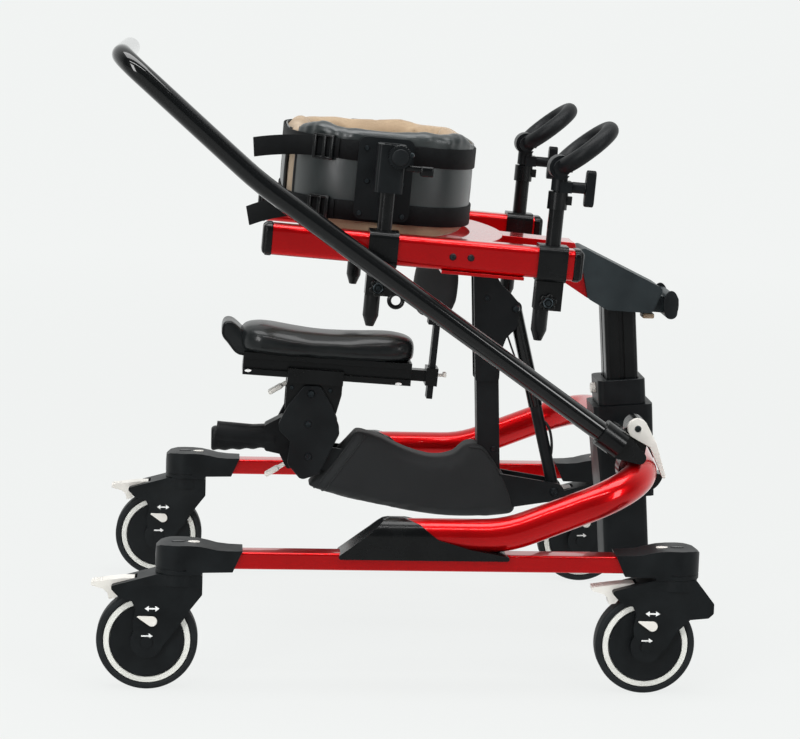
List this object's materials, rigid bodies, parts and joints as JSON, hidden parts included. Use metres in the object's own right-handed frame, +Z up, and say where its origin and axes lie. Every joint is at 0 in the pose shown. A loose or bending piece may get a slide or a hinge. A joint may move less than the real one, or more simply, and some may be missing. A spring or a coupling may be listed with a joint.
{
  "type": "gait trainer",
  "caption": "Wheeled gait trainer: low caster base with a bent hoop, height-adjustable leaning mast, side rails with handholds, padded chest ring, sprung saddle and carer's guide bar.",
  "frame": {"origin": "on the floor under the middle of the overall box", "axes": "+X is the walking direction, +Y the user's left, +Z up"},
  "size_m": [0.772, 0.656, 0.789],
  "materials": {
    "red_paint": "candy red metallic lacquer",
    "black_paint": "gloss black lacquer",
    "charcoal_metal": "satin charcoal powder coat",
    "black_plastic": "satin moulded black plastic",
    "gloss_black_plastic": "gloss moulded black plastic",
    "pale_plastic": "warm light grey moulded plastic",
    "tyre_rubber": "smooth dark tyre",
    "grip_rubber": "satin grip rubber",
    "vinyl": "charcoal coated upholstery",
    "lining": "tan brushed lining",
    "webbing": "black woven webbing",
    "neoprene": "charcoal neoprene"
  },
  "bodies": {
    "base": {"base_rails": "red_paint", "hoop_tubes": "red_paint", "rail_fairings": "gloss_black_plastic", "rear_caster_housings": "black_plastic", "front_caster_housings": "black_plastic", "column_sleeve": "black_plastic", "column_collar": "black_plastic", "guide_bar": "black_paint", "guide_claw": "gloss_black_plastic"},
    "cam_lever": {"guide_cam_lever": "pale_plastic"},
    "collar_button": {"collar_button": "pale_plastic"},
    "upper_frame": {"mast": "black_paint", "upper_rails": "red_paint", "frame_yoke": "red_paint", "nose_cover": "black_plastic", "rail_end_caps": "gloss_black_plastic", "saddle_post": "charcoal_metal"},
    "rear_right_caster": {"rear_right_fork": "black_plastic"},
    "rear_right_wheel": {"rear_right_wheel": "pale_plastic", "rear_right_tyre": "tyre_rubber"},
    "rear_right_pedal": {"rear_right_brake_pedal": "pale_plastic"},
    "rear_right_selector": {"rear_right_selector": "pale_plastic"},
    "rear_left_caster": {"rear_left_fork": "black_plastic"},
    "rear_left_wheel": {"rear_left_wheel": "pale_plastic", "rear_left_tyre": "tyre_rubber"},
    "rear_left_pedal": {"rear_left_brake_pedal": "pale_plastic"},
    "rear_left_selector": {"rear_left_selector": "pale_plastic"},
    "front_right_caster": {"front_right_fork": "black_plastic"},
    "front_right_wheel": {"front_right_wheel": "pale_plastic", "front_right_tyre": "tyre_rubber"},
    "front_right_pedal": {"front_right_brake_pedal": "pale_plastic"},
    "front_right_selector": {"front_right_selector": "pale_plastic"},
    "front_left_caster": {"front_left_fork": "black_plastic"},
    "front_left_wheel": {"front_left_wheel": "pale_plastic", "front_left_tyre": "tyre_rubber"},
    "front_left_pedal": {"front_left_brake_pedal": "pale_plastic"},
    "front_left_selector": {"front_left_selector": "pale_plastic"},
    "right_handhold_clamp": {"right_handhold_clamp": "gloss_black_plastic"},
    "right_handhold_stem": {"right_handhold_stem": "black_plastic"},
    "right_handhold_loop": {"right_handhold_loop": "grip_rubber"},
    "right_handhold_knob": {"right_handhold_wing_knob": "black_plastic"},
    "left_handhold_clamp": {"left_handhold_clamp": "gloss_black_plastic"},
    "left_handhold_stem": {"left_handhold_stem": "black_plastic"},
    "left_handhold_loop": {"left_handhold_loop": "grip_rubber"},
    "left_handhold_knob": {"left_handhold_wing_knob": "black_plastic"},
    "chest_carrier": {"chest_supports": "gloss_black_plastic"},
    "chest_ring": {"chest_mounts": "black_plastic", "chest_shell": "vinyl", "chest_lining": "lining", "chest_straps": "webbing"},
    "gas_tube": {"gas_spring_tube": "charcoal_metal"},
    "gas_rod": {"gas_spring_rod": "charcoal_metal"},
    "arm": {"saddle_arm": "charcoal_metal", "arm_sleeve": "neoprene"},
    "tilt_head": {"tilt_plates": "charcoal_metal", "grip_handle": "grip_rubber"},
    "saddle": {"saddle_carriage": "gloss_black_plastic", "saddle_cushion": "vinyl"},
    "pommel": {"pommel_bar": "charcoal_metal", "pommel_pad": "vinyl"}
  },
  "joints": [
    {"name": "cam_lever_swing", "type": "hinge", "parent": "base", "child": "cam_lever", "pos_m": [0.29521, -0.213, 0.32282], "axis": [0, -1, 0], "range_deg": [0, 100]},
    {"name": "button_press", "type": "slide", "parent": "base", "child": "collar_button", "axis": [0.9969, 0, 0.0785], "range_m": [0, 0.003], "stiffness_N_per_m": 600, "springref_m": -0.002},
    {"name": "mast_height", "type": "slide", "parent": "base", "child": "upper_frame", "axis": [-0.0785, 0, 0.9969], "range_m": [-0.06, 0.09]},
    {"name": "rear_right_swivel", "type": "hinge", "parent": "base", "child": "rear_right_caster", "pos_m": [-0.28, -0.3, 0.15], "axis": [0, 0, 1], "continuous": true},
    {"name": "rear_right_roll", "type": "hinge", "parent": "rear_right_caster", "child": "rear_right_wheel", "pos_m": [-0.317, -0.3, 0.0625], "axis": [0, 1, 0], "continuous": true},
    {"name": "rear_right_brake", "type": "hinge", "parent": "rear_right_caster", "child": "rear_right_pedal", "pos_m": [-0.34095, -0.3, 0.12928], "axis": [0, -1, 0], "range_deg": [0, 8]},
    {"name": "rear_right_direction", "type": "hinge", "parent": "rear_right_caster", "child": "rear_right_selector", "pos_m": [-0.31071, -0.322, 0.08939], "axis": [0, -1, 0], "range_deg": [0, 60]},
    {"name": "rear_left_swivel", "type": "hinge", "parent": "base", "child": "rear_left_caster", "pos_m": [-0.28, 0.3, 0.15], "axis": [0, 0, 1], "continuous": true},
    {"name": "rear_left_roll", "type": "hinge", "parent": "rear_left_caster", "child": "rear_left_wheel", "pos_m": [-0.317, 0.3, 0.0625], "axis": [0, 1, 0], "continuous": true},
    {"name": "rear_left_brake", "type": "hinge", "parent": "rear_left_caster", "child": "rear_left_pedal", "pos_m": [-0.34095, 0.3, 0.12928], "axis": [0, -1, 0], "range_deg": [0, 8]},
    {"name": "rear_left_direction", "type": "hinge", "parent": "rear_left_caster", "child": "rear_left_selector", "pos_m": [-0.31071, 0.278, 0.08939], "axis": [0, -1, 0], "range_deg": [0, 60]},
    {"name": "front_right_swivel", "type": "hinge", "parent": "base", "child": "front_right_caster", "pos_m": [0.34, -0.3, 0.15], "axis": [0, 0, 1], "continuous": true},
    {"name": "front_right_roll", "type": "hinge", "parent": "front_right_caster", "child": "front_right_wheel", "pos_m": [0.303, -0.3, 0.0625], "axis": [0, 1, 0], "continuous": true},
    {"name": "front_right_brake", "type": "hinge", "parent": "front_right_caster", "child": "front_right_pedal", "pos_m": [0.27905, -0.3, 0.12928], "axis": [0, -1, 0], "range_deg": [0, 8]},
    {"name": "front_right_direction", "type": "hinge", "parent": "front_right_caster", "child": "front_right_selector", "pos_m": [0.30929, -0.322, 0.08939], "axis": [0, -1, 0], "range_deg": [0, 60]},
    {"name": "front_left_swivel", "type": "hinge", "parent": "base", "child": "front_left_caster", "pos_m": [0.34, 0.3, 0.15], "axis": [0, 0, 1], "continuous": true},
    {"name": "front_left_roll", "type": "hinge", "parent": "front_left_caster", "child": "front_left_wheel", "pos_m": [0.303, 0.3, 0.0625], "axis": [0, 1, 0], "continuous": true},
    {"name": "front_left_brake", "type": "hinge", "parent": "front_left_caster", "child": "front_left_pedal", "pos_m": [0.27905, 0.3, 0.12928], "axis": [0, -1, 0], "range_deg": [0, 8]},
    {"name": "front_left_direction", "type": "hinge", "parent": "front_left_caster", "child": "front_left_selector", "pos_m": [0.30929, 0.278, 0.08939], "axis": [0, -1, 0], "range_deg": [0, 60]},
    {"name": "right_handhold_along_rail", "type": "slide", "parent": "upper_frame", "child": "right_handhold_clamp", "axis": [0.9977, 0, -0.068], "range_m": [-0.012, 0.008]},
    {"name": "right_handhold_height", "type": "slide", "parent": "right_handhold_clamp", "child": "right_handhold_stem", "axis": [0.068, 0, 0.9977], "range_m": [0, 0.03]},
    {"name": "right_handhold_tilt", "type": "hinge", "parent": "right_handhold_stem", "child": "right_handhold_loop", "pos_m": [0.18685, -0.2145, 0.64967], "axis": [0, 1, 0], "range_deg": [-30, 30]},
    {"name": "right_handhold_knob_turn", "type": "hinge", "parent": "right_handhold_stem", "child": "right_handhold_knob", "pos_m": [0.1942, -0.2145, 0.62511], "axis": [0.9977, 0, -0.068], "continuous": true},
    {"name": "left_handhold_along_rail", "type": "slide", "parent": "upper_frame", "child": "left_handhold_clamp", "axis": [0.9977, 0, -0.068], "range_m": [-0.018, 0.002]},
    {"name": "left_handhold_height", "type": "slide", "parent": "left_handhold_clamp", "child": "left_handhold_stem", "axis": [0.068, 0, 0.9977], "range_m": [0, 0.03]},
    {"name": "left_handhold_tilt", "type": "hinge", "parent": "left_handhold_stem", "child": "left_handhold_loop", "pos_m": [0.19284, 0.2145, 0.64926], "axis": [0, 1, 0], "range_deg": [-30, 30]},
    {"name": "left_handhold_knob_turn", "type": "hinge", "parent": "left_handhold_stem", "child": "left_handhold_knob", "pos_m": [0.20018, 0.2145, 0.6247], "axis": [0.9977, 0, -0.068], "continuous": true},
    {"name": "chest_along_rails", "type": "slide", "parent": "upper_frame", "child": "chest_carrier", "axis": [0.9977, 0, -0.068], "range_m": [-0.06, 0.03]},
    {"name": "chest_height", "type": "slide", "parent": "chest_carrier", "child": "chest_ring", "axis": [0.068, 0, 0.9977], "range_m": [0, 0.025]},
    {"name": "saddle_bounce", "type": "hinge", "parent": "upper_frame", "child": "arm", "pos_m": [0.1325, 0, 0.196], "axis": [0, 1, 0], "range_deg": [-10, 4]},
    {"name": "gas_tube_swing", "type": "hinge", "parent": "upper_frame", "child": "gas_tube", "pos_m": [0.16026, 0, 0.44451], "axis": [0, 1, 0], "range_deg": [-1.5, 1.5]},
    {"name": "gas_rod_stroke", "type": "slide", "parent": "gas_tube", "child": "gas_rod", "axis": [0.2404, 0, -0.9707], "range_m": [-0.017, 0.009]},
    {"name": "saddle_level", "type": "hinge", "parent": "arm", "child": "tilt_head", "pos_m": [-0.1119, 0, 0.2418], "axis": [0, 1, 0], "range_deg": [-6, 11]},
    {"name": "saddle_tilt", "type": "hinge", "parent": "tilt_head", "child": "saddle", "pos_m": [-0.1099, 0, 0.3268], "axis": [0, 1, 0], "range_deg": [-8, 2]},
    {"name": "pommel_height", "type": "slide", "parent": "saddle", "child": "pommel", "axis": [0.0785, 0, 0.9969], "range_m": [-0.03, 0.006]}
  ],
  "couplings": [
    {"joint": "gas_tube_swing", "follows": "saddle_bounce", "ratio": 0.08385},
    {"joint": "gas_rod_stroke", "follows": "saddle_bounce", "m_per_rad": 0.08668},
    {"joint": "saddle_level", "follows": "saddle_bounce", "ratio": -1}
  ]
}
